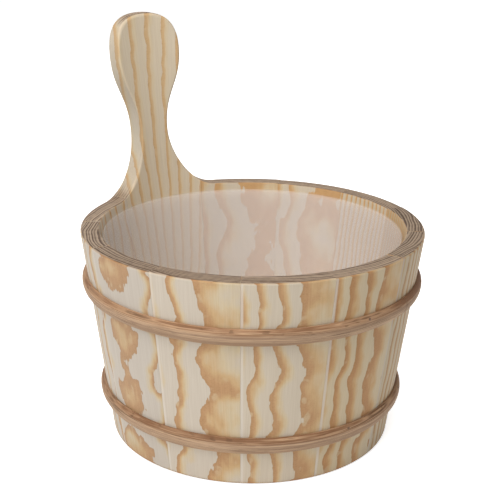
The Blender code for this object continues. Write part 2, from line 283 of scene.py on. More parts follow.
class Graph:
    """The nodes of one material, or of the world."""

    def __init__(self, owner, shader="Principled BSDF"):
        self.owner = owner
        self.owner.use_nodes = True
        self.tree = self.owner.node_tree
        self.shader = self.tree.nodes[shader]

    def node(self, kind, settings=None, sockets=None, output=0):
        """Adds a node: first its settings, then the values or links of its sockets."""
        made = self.tree.nodes.new(kind)
        for key, value in (settings or {}).items():
            if key == "stops":
                self.set_stops(made.color_ramp, value)
            else:
                setattr(made, key, value)
        for key, value in (sockets or {}).items():
            self.feed(made.inputs[key], value)
        return Wire(self, made.outputs[output])

    def set_stops(self, ramp, stops):
        while len(ramp.elements) < len(stops):
            ramp.elements.new(0.5)
        for element, (position, colour) in zip(ramp.elements, stops):
            element.position = position
            element.color = (*colour, 1.0)

    def feed(self, socket, value):
        if isinstance(value, Wire):
            self.tree.links.new(value.socket, socket)
        elif socket.type == "RGBA":
            socket.default_value = (*value, 1.0)
        else:
            socket.default_value = value

    def place(self):
        return self.node("ShaderNodeTexCoord", output="Object")

    def facing(self):
        """The three parts of the way that the surface faces."""
        return self.split(self.node("ShaderNodeNewGeometry", output="Normal"))

    def split(self, vector):
        """The three parts of a vector."""
        made = self.node("ShaderNodeSeparateXYZ", {}, {"Vector": vector})
        return tuple(Wire(self, socket) for socket in made.socket.node.outputs)

    def joined(self, x, y, z):
        return self.node("ShaderNodeCombineXYZ", {}, {0: x, 1: y, 2: z})

    def noise(self, vector, scale, detail=2.0, roughness=0.5):
        return self.node("ShaderNodeTexNoise", {}, {
            "Vector": vector, "Scale": scale, "Detail": detail, "Roughness": roughness})

    def eased(self, value, low, high):
        """A smooth step from 0 at low to 1 at high."""
        return self.node("ShaderNodeMapRange", {"interpolation_type": "SMOOTHSTEP"}, {
            "Value": value, "From Min": low, "From Max": high})

    def mixed(self, factor, first, second, blend="MIX"):
        """A mix of two colours."""
        return self.node("ShaderNodeMix", {"data_type": "RGBA", "blend_type": blend},
                         {0: factor, 6: first, 7: second}, output=2)

    def bump(self, height, strength, distance):
        return self.node("ShaderNodeBump", {}, {
            "Height": height, "Strength": strength, "Distance": distance})

    def surface(self, sockets):
        """Feeds the shader's sockets, by name."""
        for key, value in sockets.items():
            self.feed(self.shader.inputs[key], value)
        return self.owner

    def plainly_seen(self):
        """1 for what the camera sees, straight, in a gloss or through the liner, and 0 for other light."""
        paths = self.node("ShaderNodeLightPath").socket.node.outputs
        kinds = ("Is Camera Ray", "Is Glossy Ray", "Is Transmission Ray")
        straight, glossy, through = (Wire(self, paths[kind]) for kind in kinds)
        return (straight + glossy + through).clamped()


def outer_radius(height):
    return BASE_RADIUS + TAPER * height


def inner_radius(height):
    return outer_radius(height) - WALL


def around(radius, angle, height):
    """A point about the tub's axis."""
    turn = radians(angle)
    return Vector((-radius * sin(turn), radius * cos(turn), height))


def held(value, low, high):
    return min(max(value, low), high)


def parts_of(bm):
    return bm.verts[:] + bm.edges[:] + bm.faces[:]


def extrude(bm, face, step):
    """Draws a face out by a step into a closed block."""
    made = bmesh.ops.extrude_face_region(bm, geom=[face])
    moved = [item for item in made["geom"] if isinstance(item, bmesh.types.BMVert)]
    bmesh.ops.translate(bm, vec=step, verts=moved)


def turn_round(bm, points, axis, steps):
    """Turns a line of points a full circle about an axis through the origin."""
    verts = [bm.verts.new(point) for point in points]
    edges = [bm.edges.new(pair) for pair in zip(verts, verts[1:])]
    bmesh.ops.spin(bm, geom=edges, cent=(0, 0, 0), axis=axis, angle=2 * pi, steps=steps, use_merge=True)


def finished(bm, name, material, body, node, sharp_angle=40.0):
    """Turns a bmesh that stands about the axis into a piece that stands for a CAD node."""
    bmesh.ops.translate(bm, vec=AXIS, verts=bm.verts)
    bmesh.ops.recalc_face_normals(bm, faces=bm.faces)
    mesh = bpy.data.meshes.new(name)
    bm.to_mesh(mesh)
    bm.free()
    mesh.materials.append(material)
    mesh.shade_smooth()
    mesh.set_sharp_from_angle(angle=radians(sharp_angle))
    piece = bpy.data.objects.new(name, mesh)
    bpy.context.scene.collection.objects.link(piece)
    normals = piece.modifiers.new("face normals", "WEIGHTED_NORMAL")
    normals.keep_sharp = True
    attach(piece, body)
    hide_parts(node)


def stave_spans():
    """Start and end angle of each stave, by node name."""
    half = HANDLE_STAVE_ANGLE / 2
    spans = {}
    for i in range(STAVE_COUNT):
        start = half + i * STAVE_ANGLE
        spans[f"stave_{i + 1:02d}"] = (start, start + STAVE_ANGLE)
    spans["closing_stave"] = (half + STAVE_COUNT * STAVE_ANGLE, 360 - half)
    return spans


class Sawing(NamedTuple):
    """How a board was sawn, and the look that this gives it."""

    pith_share: float   # where the pith lies across the board, to the right seen from outside
    pith_depth: float   # how far the pith lies behind the outer face
    spacing: float      # width of a ring
    phase: float        # place in a ring at the pith, from 0 to 1
    ripple: float       # how far the rings swing to and fro along the board
    swing: float        # length of one swing
    crest: float        # height at which a swing comes furthest out
    waver: float        # how far the rings wander without a rule
    warmth: float       # how creamy the pale wood is
    late_share: float   # share of a ring that is brown
    contrast: float     # strength of the brown
    narrowing: float    # how much narrower the brown gets away from the pith
    tone: float         # how light the board is beside the others; lowered on stave_07 and stave_08 partly as painted shade for the side away from the key lamp


GRAIN = {
    "handle_stave": Sawing(-2.6, 0.150, 0.0083, 0.20, 0.0006, 0.20, 0.20, 0.0009, 1.1, 0.30, 0.95, 0.0, 1.10),
    "stave_01": Sawing(1.2, 0.050, 0.0100, 0.40, 0.0006, 0.070, 0.04, 0.0016, 0.6, 0.34, 0.85, 0.3, 1.05),
    "stave_02": Sawing(0.60, 0.040, 0.0066, 0.30, 0.0008, 0.060, 0.02, 0.0009, 0.1, 0.34, 1.0, 0.3, 0.90),
    "stave_03": Sawing(-0.04, 0.045, 0.0060, 0.92, 0.0013, 0.047, 0.052, 0.0013, 0.0, 0.48, 0.95, 0.6, 0.90),
    "stave_04": Sawing(0.36, 0.045, 0.0100, 0.74, 0.0015, 0.050, 0.049, 0.0016, 0.3, 0.54, 1.0, 0.6, 0.97),
    "stave_05": Sawing(0.44, 0.045, 0.0082, 0.75, 0.0010, 0.043, 0.0735, 0.0019, 0.7, 0.64, 1.0, 0.5, 0.99),
    "stave_06": Sawing(0.38, 0.045, 0.0067, 0.75, 0.0006, 0.058, 0.062, 0.0018, 1.7, 0.66, 1.15, 0.0, 0.96),
    # stave_07 and stave_08 take a lower tone partly as painted shade, darkening the side turned away from the
    # key lamp
    "stave_07": Sawing(0.90, 0.050, 0.0060, 0.40, 0.0006, 0.060, 0.03, 0.0012, 1.8, 0.66, 1.1, 0.2, 0.82),
    "stave_08": Sawing(3.0, 0.055, 0.0040, 0.30, 0.0003, 0.080, 0.05, 0.0006, 2.0, 0.64, 1.2, 0.0, 0.80),
    "stave_09": Sawing(2.2, 0.050, 0.0046, 0.60, 0.0003, 0.070, 0.02, 0.0008, 0.6, 0.44, 1.2, 0.0, 0.98),
    "stave_10": Sawing(-0.18, 0.048, 0.0070, 0.66, 0.0016, 0.080, 0.03, 0.0022, 0.9, 0.60, 1.0, 0.4, 1.02),
    "closing_stave": Sawing(-0.20, 0.05, 0.0085, 0.45, 0.0018, 0.09, 0.06, 0.0022, 0.9, 0.56, 1.0, 0.4, 1.02),
}


class Board(NamedTuple):
    """Where a point lies on a stave's board, and the noises that disturb the grain there."""

    graph: Graph
    across: Wire        # from the board's middle, to the right seen from outside
    depth: Wire         # behind the outer face
    along: Wire         # up from the foot
    shift: float        # moves the noises, so that no two boards match
    slow: Wire          # long waves
    quick: Wire         # short waves
    jag: Wire           # ragged edges of the rings
    feather: Wire       # fine teeth on those edges
    fibre: Wire         # hair lines along the board


def laid_board(graph, node, middle):
    """Lays a board along a stave's outer face. The handle's grain spreads towards its top."""
    place = graph.node("ShaderNodeMapping", {"vector_type": "TEXTURE"}, {
        "Vector": graph.place(), "Location": AXIS + around(BASE_RADIUS, middle, 0),
        "Rotation": (TILT, 0, radians(middle - 180))})
    across, depth, along = graph.split(place)
    if node == "handle_stave":
        across = across / (1 + HANDLE_GRAIN_SPREAD * (along - BODY_HEIGHT))
    shift = Random(node).uniform(0, 10)
    moved = across + shift
    return Board(
        graph, across, depth, along, shift,
        slow=graph.noise(graph.joined(moved, depth, along * 0.75), 30, 1.0),
        quick=graph.noise(graph.joined(moved, depth * 0.6, along * 0.8), 62, 1.0),
        jag=graph.noise(graph.joined(moved, depth, along * 0.45), 240, 2.0),
        feather=graph.noise(graph.joined(moved, depth, along * 0.05), 900, 2.0),
        fibre=graph.noise(graph.joined(moved, depth, along * 0.02), 1500, 3.0, 0.6))


def ring_place(board, sawing, width):
    """How far through its ring a point lies, from 0 at the start to 1 at the end of the latewood."""
    sideways = board.across - sawing.pith_share * width
    inwards = sawing.pith_depth - board.depth
    radius = (sideways * sideways + inwards * inwards) ** 0.5
    swing = (board.along + (board.quick - 0.5) * 0.030 - sawing.crest) * (2 * pi / sawing.swing)
    wander = (board.slow - 0.5) * (4 * sawing.waver) + (board.quick - 0.5) * (2.4 * sawing.waver)
    radius = radius + wander - swing.cosine() * sawing.ripple
    radius = radius + (board.jag - 0.5) * (0.26 * sawing.spacing) + (board.feather - 0.5) * 0.0009
    nearest = max(abs(sawing.pith_share) - 0.5, 0.0) * width
    at_face = sqrt(nearest ** 2 + sawing.pith_depth ** 2)
    ring = ((radius - at_face) / sawing.spacing + sawing.phase).part()
    far = board.graph.eased(sideways.absolute(), 0.006, 0.020)
    return (1 - (1 - ring) * (1 + sawing.narrowing * far)).clamped()


def ring_colours(sawing, colours, latewood):
    """Colours through one ring, as the stops of a ramp."""
    tone = sawing.tone
    cream = Vector(colours.cream_wood) * tone
    pale = (Vector(colours.pale_wood) * tone).lerp(cream, 0.5 * sawing.warmth)
    honey = pale.lerp(Vector(colours.honey_wood) * tone, sawing.contrast)
    brown = pale.lerp(Vector(latewood) * tone, sawing.contrast)
    dark = pale.lerp(Vector(latewood) * (0.90 * tone), sawing.contrast)
    share = sawing.late_share
    late = 1 - share
    return ((0.0, pale), (max(late - 0.24, 0.0), pale), (late, cream), (late + 0.36 * share, honey),
            (late + 0.64 * share, brown), (0.982, dark), (1.0, pale))


def end_grain(board, sawing, colours):
    """Strength of the rings on the sawn ends, and the colour there."""
    graph = board.graph
    across = board.across
    lean = 0.25 * held(sawing.pith_share, -0.4, 0.4)
    waves = (board.slow - 0.5) * 0.006 + (board.feather - 0.5) * 0.0005
    arc = across * across * 4.2 - across * lean - board.depth + waves
    season = graph.noise(graph.joined(arc + board.shift, arc, arc), 230, 1.0)
    ring = graph.eased((arc / 0.0022 + season * 1.6).part(), 0.22, 0.90) * graph.eased(season, 0.08, 0.46)
    patch = graph.noise(graph.joined(across + board.shift, board.depth, board.along), 200, 2.0)
    colour = graph.mixed((ring + (patch - 0.5) * 0.8).clamped(), Vector(colours.end_wood) * sawing.tone,
                         Vector(colours.end_ring) * sawing.tone)
    return ring, colour


def pine(node, start, end, colours):
    """Flat-sawn pine for one stave, with rings about a pith of its own behind the board."""
    handle = node == "handle_stave"
    sawing = GRAIN[node]
    graph = Graph(bpy.data.materials.new("pine_" + node))
    board = laid_board(graph, node, (start + end) / 2)
    moved = board.across + board.shift
    depth = board.depth
    along = board.along

    ring = ring_place(board, sawing, radians(end - start) * outer_radius(BODY_HEIGHT / 2))
    stops = ring_colours(sawing, colours, colours.honey_wood if handle else colours.brown_wood)
    wood = graph.node("ShaderNodeValToRGB", {"stops": stops}, {"Fac": ring})
    streak = graph.eased(board.fibre, 0.12, 0.90)
    wood = graph.mixed(streak * 0.21, wood, FIBRE_TINT, "MULTIPLY")
    late = 1 - sawing.late_share
    latewood = graph.eased(ring, late, 1.0)
    mottle = graph.eased(graph.noise(graph.joined(moved, depth, along * 0.7), 150, 1.0), 0.60, 0.70)
    wood = graph.mixed(mottle * latewood * 0.5, wood, Vector(colours.cream_wood) * sawing.tone)
    inside = graph.eased(depth, 0.007, 0.010) * graph.eased(ring, late, 0.95)
    wood = graph.mixed(inside * (0.20 if handle else 0.75), wood, INNER_RING)
    flecks = graph.noise(graph.joined(board.across * 0.6 + board.shift, depth, along), 1100, 2.0)
    wood = graph.mixed(graph.eased(flecks, 0.50, 0.70) * latewood * 0.24, wood, FLECK_TINT, "MULTIPLY")

    facing_x, _, facing_z = graph.facing()
    if handle:
        wood = graph.mixed(graph.eased(facing_x.absolute(), 0.30, 0.75), wood, HANDLE_SIDE_TINT, "MULTIPLY")
    else:
        from_seam = board.across + (along * TAPER + BASE_RADIUS) * sin(radians(end - start) / 2)
        planed = (1 - graph.eased(from_seam, 0.0013, 0.0024)) * (1 - graph.eased(depth, 0.003, 0.006))
        wood = graph.mixed(planed * 0.85, wood, Vector(colours.pale_wood) * (1.06 * sawing.tone))
    end_ring, end_colour = end_grain(board, sawing, colours)
    upright = facing_z.absolute()
    sawn = graph.eased(upright, 0.62, 0.97)
    # Darker where the rounded rim edges turn partly upwards, and over the lowest two millimetres of the foot
    slope_and_foot = graph.eased(upright, 0.20, 0.55) + 1 - graph.eased(along, 0.0005, 0.0022)
    edge = slope_and_foot.clamped() * (1 - sawn)
    wood = graph.mixed(edge * (0.15 if handle else 0.45), wood, EDGE_AND_FOOT_TINT, "MULTIPLY")
    wood = graph.mixed(sawn, wood, end_colour)

    relief = board.fibre * 0.6 + ring * 0.5 + sawn * end_ring
    return graph.surface({"Base Color": wood, "Roughness": 0.50 + 0.14 * streak + 0.12 * sawn,
                          "Specular IOR Level": 0.2, "Normal": graph.bump(relief, 0.16, 0.0004)})


def stave_outline():
    """Section through a stave, as (radius, height), with the croze that holds the bottom."""
    upper = inner_radius(CROZE_HIGH)
    lower = inner_radius(CROZE_LOW)
    return [
        (outer_radius(0) - SKIN, 0), (outer_radius(BODY_HEIGHT) - SKIN, BODY_HEIGHT),
        (inner_radius(BODY_HEIGHT), BODY_HEIGHT), (upper, CROZE_HIGH), (upper + CROZE_DEPTH, CROZE_HIGH),
        (lower + CROZE_DEPTH, CROZE_LOW), (lower, CROZE_LOW), (inner_radius(0), 0),
    ]


def round_corner(bm, vert, radius, segments):
    bmesh.ops.bevel(bm, geom=[vert], offset=radius, segments=segments, profile=0.5, affect="VERTICES",
                    material=-1)


def on_board(half_width, height):
    """A place on the handle board as (angle, height), from a half width measured along its middle."""
    return Vector((degrees(half_width / (outer_radius(height) - WALL / 2)), height, 0))


def shoulder_sweep(neighbour):
    """The curve that leaves the rim on a neighbouring stave and runs in and up to the handle's neck."""
    shoulder_reach, neck_reach = SHOULDER_REACHES[neighbour]
    return interpolate_bezier(
        on_board(SHOULDER_WIDTH, BODY_HEIGHT), on_board(SHOULDER_WIDTH - shoulder_reach, BODY_HEIGHT),
        on_board(NECK_WIDTH / 2, NECK_HEIGHT - neck_reach), on_board(NECK_WIDTH / 2, NECK_HEIGHT),
        SHOULDER_STEPS)


def swept_height(sweep, angle):
    """A sweep's height at an angle from the handle's middle, or the rim's where it has run out."""
    for outer, inner in zip(sweep, sweep[1:]):
        if inner.x <= angle <= outer.x:
            return outer.y + (inner.y - outer.y) * (outer.x - angle) / (outer.x - inner.x)
    return BODY_HEIGHT


class BUCKET_OT_staves(bpy.types.Operator):
    """Make the ten equal staves and the closing stave"""

    bl_idname = "bucket.staves"
    bl_label = "Staves"

    def execute(self, context):
        sizes = context.scene.bucket_sizes
        for node, (start, end) in stave_spans().items():
            self.make(node, start, end, sizes, context.scene.bucket_colours)
        return {"FINISHED"}

    def make(self, node, start, end, sizes, colours):
        swept = node in SHOULDER_REACHES
        inset = degrees(sizes.seam / 2 / inner_radius(0))
        bm = bmesh.new()
        verts = [bm.verts.new(around(radius, start + inset, height)) for radius, height in stave_outline()]
        bm.faces.new(verts)
        outer_foot, outer_rim, inner_rim = verts[:3]
        drop = 0.0 if swept else Random(node).uniform(0, sizes.unevenness)
        for vert in (outer_rim, inner_rim):
            vert.co.z -= drop
        round_corner(bm, outer_foot, sizes.foot_rounding, 3)
        round_corner(bm, outer_rim, sizes.rim_rounding, 4)
        round_corner(bm, inner_rim, sizes.inner_rounding, 3)
        turn = end - start - 2 * inset
        bmesh.ops.spin(bm, geom=bm.faces[:], cent=(0, 0, 0), axis=(0, 0, 1), angle=radians(turn),
                       steps=round(turn / sizes.arc_step))
        bmesh.ops.recalc_face_normals(bm, faces=bm.faces)
        seams = {edge for side in bm.faces if len(side.verts) > 4 for edge in side.edges}
        bmesh.ops.bevel(bm, geom=list(seams), offset=sizes.arris, segments=1, profile=0.5,
                        affect="EDGES", material=-1)
        if swept:
            self.raise_rim(bm, shoulder_sweep(node), 2 * sizes.rim_rounding)
        finished(bm, "pine_" + node, pine(node, start, end, colours), "tub", node)

    def raise_rim(self, bm, sweep, depth):
        """Carries a rim, down to a depth, up along the sweep, keeping to the tub's taper."""
        for vert in bm.verts:
            if vert.co.z < BODY_HEIGHT - depth:
                continue
            angle = degrees(atan2(-vert.co.x, vert.co.y))
            rise = swept_height(sweep, abs(angle)) - BODY_HEIGHT
            vert.co = around(vert.co.xy.length + TAPER * rise, angle, vert.co.z + rise)


def handle_outline():
    """The handle stave's outline as (angle, height), from its lower left corner over the top."""
    side = HANDLE_STAVE_ANGLE / 2 - degrees(0.5 * GAP / inner_radius(0))
    neck = NECK_WIDTH / 2

    def flank(neighbour, shift):
        """One side from the foot up to the crown, which stands aside by a shift."""
        sweep = shoulder_sweep(neighbour)
        points = [Vector((side, 0, 0)), Vector((side, swept_height(sweep, side), 0))]
        points.extend(point for point in sweep[:-1] if point.x < side - 0.3)
        lobe = LOBE_WIDTH / 2 + shift
        curves = (
            ((neck, NECK_HEIGHT), (neck, NECK_HEIGHT + GRIP_REACH), (lobe, LOBE_HEIGHT - GRIP_REACH),
             (lobe, LOBE_HEIGHT)),
            ((lobe, LOBE_HEIGHT), (lobe, LOBE_HEIGHT + CROWN_REACH), (shift + CROWN_REACH, HANDLE_TOP),
             (shift, HANDLE_TOP)),
        )
        for curve in curves:
            points.extend(interpolate_bezier(*(on_board(*point) for point in curve), LOBE_STEPS)[:-1])
        return points

    first = flank("stave_01", -LOBE_SHIFT)
    last = flank("closing_stave", LOBE_SHIFT)
    mirrored = [Vector((-point.x, point.y, 0)) for point in reversed(last)]
    return first + [on_board(-LOBE_SHIFT, HANDLE_TOP)] + mirrored


class BUCKET_OT_handle_stave(bpy.types.Operator):
    """Make the stave that is carried up into the handle"""

    bl_idname = "bucket.handle_stave"
    bl_label = "Handle stave"

    def execute(self, context):
        sizes = context.scene.bucket_sizes
        scale = radians(outer_radius(NECK_HEIGHT) - WALL / 2)
        bm = self.board(sizes, scale)
        self.sink_croze(bm)
        for vert in bm.verts:
            vert.co.x /= scale
        steps = round(HANDLE_STAVE_ANGLE / sizes.arc_step)
        for i in range(1, steps):
            bmesh.ops.bisect_plane(bm, geom=parts_of(bm), dist=TOUCHING, plane_no=(1, 0, 0),
                                   plane_co=(HANDLE_STAVE_ANGLE * (i / steps - 0.5), 0, 0))
        for vert in bm.verts:
            angle, depth, height = vert.co
            planed = depth + (SKIN + self.thinning(height)) * (1 - depth / WALL)
            vert.co = around(outer_radius(height) - planed, angle, height)
        half = HANDLE_STAVE_ANGLE / 2
        finished(bm, "pine_handle_stave", pine("handle_stave", -half, half, context.scene.bucket_colours),
                 "tub", "handle_stave")
        return {"FINISHED"}

    def thinning(self, height):
        """How far the outer face is planed back, from nothing at the neck to the most at the crown."""
        share = held((height - NECK_HEIGHT) / (HANDLE_TOP - NECK_HEIGHT), 0.0, 1.0)
        return HANDLE_THINNING * share * share * (3 - 2 * share)

    def board(self, sizes, scale):
        """The flat board as (across, depth, height), its edges rounded by a weight for each edge."""
        bm = bmesh.new()
        face = bm.faces.new([bm.verts.new((point.x * scale, 0, point.y)) for point in handle_outline()])
        extrude(bm, face, (0, WALL, 0))
        bmesh.ops.recalc_face_normals(bm, faces=bm.faces)
        weights = bm.edges.layers.float.new("bevel_weight_edge")
        for edge in bm.edges:
            edge[weights] = self.rounding(edge, sizes) / sizes.handle_rounding
        mesh = bpy.data.meshes.new("handle_board")
        bm.to_mesh(mesh)
        bm.free()
        flat = bpy.data.objects.new("handle_board", mesh)
        bpy.context.scene.collection.objects.link(flat)
        bevel = flat.modifiers.new("rounding", "BEVEL")
        bevel.limit_method = "WEIGHT"
        bevel.width = sizes.handle_rounding
        bevel.segments = 6
        bevel.profile = 0.5
        bevel.use_clamp_overlap = False
        rounded = bmesh.new()
        rounded.from_object(flat, bpy.context.evaluated_depsgraph_get())
        bpy.data.objects.remove(flat)
        bpy.data.meshes.remove(mesh)
        return rounded

    def rounding(self, edge, sizes):
        """The rim's own roundings at the seams, growing to the handle's a little above them."""
        first, second = (vert.co for vert in edge.verts)
        if abs(first.y - second.y) > WALL / 2:
            return 0.0
        outside = first.y < WALL / 2
        height = (first.z + second.z) / 2
        if height < GAP:
            return sizes.foot_rounding if outside else 0.0
        if min(first.z, second.z) < BODY_HEIGHT - GAP:
            return sizes.arris if outside else 0.0
        start = sizes.rim_rounding if outside else sizes.inner_rounding
        share = held((height - BODY_HEIGHT - ROUNDING_RISE) / ROUNDING_RUN, 0.0, 1.0)
        return start + (sizes.handle_rounding - start) * share

    def sink_croze(self, bm):
        """Sinks the groove for the bottom across the back of the flat board."""
        low, high = CROZE_LOW, CROZE_HIGH
        floor = WALL - CROZE_DEPTH
        cuts = (((0, 0, low), (0, 0, 1)), ((0, 0, high), (0, 0, 1)), ((0, floor, 0), (0, 1, 0)))
        for point, normal in cuts:
            bmesh.ops.bisect_plane(bm, geom=parts_of(bm), dist=TOUCHING, plane_co=point, plane_no=normal)

        def in_groove(face):
            middle = face.calc_center_median()
            return low < middle.z < high and middle.y > floor

        bmesh.ops.delete(bm, geom=[face for face in bm.faces if in_groove(face)], context="FACES")
        side = max(vert.co.x for vert in bm.verts)
        for (near, first), (far, second) in (((floor, low), (floor, high)), ((floor, low), (WALL, low)),
                                             ((floor, high), (WALL, high))):
            points = ((-side, near, first), (side, near, first), (side, far, second), (-side, far, second))
            bm.faces.new([min(bm.verts, key=lambda vert: (vert.co - Vector(point)).length)
                          for point in points])
        bmesh.ops.recalc_face_normals(bm, faces=bm.faces)


def hoop_outline(middle):
    """A half-round section whose flat side lies along the staves."""
    points = []
    for i in range(HOOP_SECTION_STEPS + 1):
        turn = pi * i / HOOP_SECTION_STEPS
        height = middle - HOOP_WIDTH / 2 * cos(turn)
        bulge = (HOOP_THICKNESS - HOOP_SKIN) * sin(turn) ** HOOP_FULLNESS
        points.append((outer_radius(height) + HOOP_SEAT + bulge, height))
    return points


def hoop_wood(node, colours):
    """Bent strip wood with streaks that follow its length, with painted shade on its top and painted light on
    its front and lower faces.
    """
    shift = Random(node).uniform(0, 10)
    graph = Graph(bpy.data.materials.new("wood_" + node))
    centred = graph.node("ShaderNodeVectorMath", {"operation": "SUBTRACT"}, {0: graph.place(), 1: AXIS})
    x, y, z = graph.split(centred)
    radius = (x * x + y * y) ** 0.5
    strip = graph.joined(x * 0.012 + shift, y * 0.012, z + radius * 0.8)
    broad = graph.noise(strip, 420, 2.0)
    thin = graph.noise(strip, 1350, 3.0, 0.6)
    pores = graph.noise(graph.joined(x * 0.10 + shift, y * 0.10, z + radius), 1300, 1.0)
    tone = graph.eased(broad * 0.30 + thin * 0.70, 0.43, 0.57)
    wood = graph.mixed(tone, colours.hoop_dark, colours.hoop_pale)
    line = graph.eased(thin, 0.54, 0.64)
    wood = graph.mixed(line * 0.85, wood, Vector(colours.hoop_dark) * 0.6)
    pore = graph.eased(pores, 0.64, 0.74)
    wood = graph.mixed(pore * 0.5, wood, Vector(colours.hoop_dark) * 0.5)
    upwards = graph.facing()[2]
    # Painted shade: the upward-facing top of each hoop is darkened
    wood = graph.mixed(graph.eased(upwards, 0.12, 0.34) * 0.40, wood, HOOP_TOP_PAINTED_SHADE, "MULTIPLY")
    # Painted light: the front and lower faces of each hoop are made paler
    painted_light = (1 - graph.eased(upwards, -0.05, 0.25)) * (0.30 - 0.28 * line)
    wood = graph.mixed(painted_light, wood, colours.hoop_painted_light)
    relief = thin * 0.7 - pore * 0.5 - line * 0.4 + broad * 0.4
    return graph.surface({"Base Color": wood, "Roughness": 0.58 + 0.16 * thin, "Specular IOR Level": 0.2,
                          "Normal": graph.bump(relief, 0.5, 0.0004)})


class BUCKET_OT_hoops(bpy.types.Operator):
    """Make the two bent hoops, each with an open joint"""

    bl_idname = "bucket.hoops"
    bl_label = "Hoops"

    def execute(self, context):
        sizes = context.scene.bucket_sizes
        for node, (middle, joint) in HOOPS.items():
            opening = degrees(HOOP_JOINT_GAP / outer_radius(middle))
            bm = bmesh.new()
            face = bm.faces.new([bm.verts.new(around(radius, joint + opening / 2, height))
                                 for radius, height in hoop_outline(middle)])
            bmesh.ops.spin(bm, geom=[face], cent=(0, 0, 0), axis=(0, 0, 1),
                           angle=radians(360 - opening), steps=sizes.hoop_steps)
            self.wander(bm, node, middle, sizes.hoop_unevenness)
            finished(bm, "bent_" + node, hoop_wood(node, context.scene.bucket_colours), "tub",
                     node, sharp_angle=55.0)
        return {"FINISHED"}

    def wander(self, bm, node, middle, amount):
        """Lets the strip rise and fall a little, as a hand-set hoop does."""
        shift = Random(node).uniform(0, 10)
        for vert in bm.verts:
            turn = Vector((vert.co.x, vert.co.y, 0)).normalized() * HOOP_WANDER_RATE
            lift = amount * noise.noise(turn + Vector((0, 0, shift)))
            vert.co.z += lift
            flat = Vector((vert.co.x, vert.co.y, 0))
            vert.co += flat.normalized() * (TAPER * lift)


def blued_steel(colours):
    graph = Graph(bpy.data.materials.new("blued_steel"))
    wear = graph.noise(graph.place(), 2600, 3.0)
    colour = graph.mixed(graph.eased(wear, 0.40, 0.65), colours.brad_steel, Vector(colours.brad_steel) * 1.7)
    return graph.surface({"Base Color": colour, "Metallic": 0.6, "Roughness": 0.34 + 0.25 * wear})


class BUCKET_OT_brads(bpy.types.Operator):
    """Make the brads that pin the hoops to the staves"""

    bl_idname = "bucket.brads"
    bl_label = "Brads"

    def execute(self, context):
        material = blued_steel(context.scene.bucket_colours)
        for hoop, (middle, joint) in HOOPS.items():
            for i, offset in enumerate(BRAD_OFFSETS):
                self.make(f"{hoop}_brad_{i + 1}", joint + offset, middle + BRAD_RISE, material)
        return {"FINISHED"}

    def make(self, node, angle, height, material):
        bulge = HOOP_THICKNESS * sqrt(1 - (2 * BRAD_RISE / HOOP_WIDTH) ** 2)
        face_radius = outer_radius(height) + GAP + bulge
        bm = bmesh.new()
        points = [(radius, face_radius - depth, 0) for radius, depth in BRAD_OUTLINE]
        turn_round(bm, points, (0, 1, 0), BRAD_STEPS)
        bmesh.ops.remove_doubles(bm, verts=bm.verts, dist=TOUCHING)
        bmesh.ops.translate(bm, vec=(0, 0, height), verts=bm.verts)
        bmesh.ops.rotate(bm, verts=bm.verts, cent=(0, 0, 0), matrix=Matrix.Rotation(radians(angle), 3, "Z"))
        finished(bm, "steel_" + node, material, "tub", node)


def plank_pine(node, shift, colours):
    """Quieter pine for the bottom, its grain along the planks."""
    graph = Graph(bpy.data.materials.new("pine_" + node))
    x, y, z = graph.split(graph.place())
    waver = graph.noise(graph.joined(x * 0.3 + shift, y, z), 45, 2.0)
    fibre = graph.noise(graph.joined(x * 0.02 + shift, y, z), 1400, 3.0, 0.6)
    ring = ((y + (waver - 0.5) * 0.02 + z * 0.6) / 0.0065 + shift).part()
    wood = graph.node("ShaderNodeValToRGB", {"stops": (
        (0.0, colours.cream_wood), (0.45, colours.cream_wood), (0.80, colours.honey_wood),
        (0.96, colours.brown_wood), (1.0, colours.cream_wood))}, {"Fac": ring})
    streak = graph.eased(fibre, 0.12, 0.90)
    wood = graph.mixed(streak * 0.18, wood, FIBRE_TINT, "MULTIPLY")
    return graph.surface({"Base Color": wood, "Roughness": 0.55 + 0.15 * streak,
                          "Normal": graph.bump(fibre * 0.6 + ring * 0.4, 0.22, 0.0004)})


class BUCKET_OT_bottom(bpy.types.Operator):
    """Make the three planks of the bottom"""

    bl_idname = "bucket.bottom"
    bl_label = "Bottom"

    def execute(self, context):
        half = PLANK_HALF_WIDTH
        spans = ((None, -half), (-half, half), (half, None))
        for i, span in enumerate(spans):
            self.make(f"bottom_plank_{i + 1}", span, i, context.scene.bucket_colours)
        return {"FINISHED"}

    def make(self, node, span, index, colours):
        radius = inner_radius(CHIME_DEPTH) + CROZE_DEPTH - BOTTOM_PLAY
        bm = bmesh.new()
        made = bmesh.ops.create_circle(bm, cap_ends=True, segments=BOTTOM_STEPS, radius=radius,
                                       matrix=Matrix.Translation((0, 0, CHIME_DEPTH)))
        extrude(bm, made["verts"][0].link_faces[0], (0, 0, BOTTOM_THICKNESS))
        for limit, side in zip(span, (-1, 1)):
            if limit is None:
                continue
            sawn = bmesh.ops.bisect_plane(bm, geom=parts_of(bm), dist=TOUCHING, plane_no=(0, side, 0),
                                          plane_co=(0, limit - side * PLANK_SEAM, 0), clear_outer=True)
            edges = [item for item in sawn["geom_cut"] if isinstance(item, bmesh.types.BMEdge)]
            bmesh.ops.contextual_create(bm, geom=edges)
        bmesh.ops.recalc_face_normals(bm, faces=bm.faces)
        long_edges = [edge for edge in bm.edges if abs(edge.verts[0].co.y - edge.verts[1].co.y) < 1e-6
                      and edge.calc_length() > 0.05]
        bmesh.ops.bevel(bm, geom=long_edges, offset=PLANK_ARRIS, segments=2, profile=0.5, affect="EDGES",
                        material=-1)
        finished(bm, "pine_" + node, plank_pine(node, 3.7 * index + 1.3, colours), "tub", node)


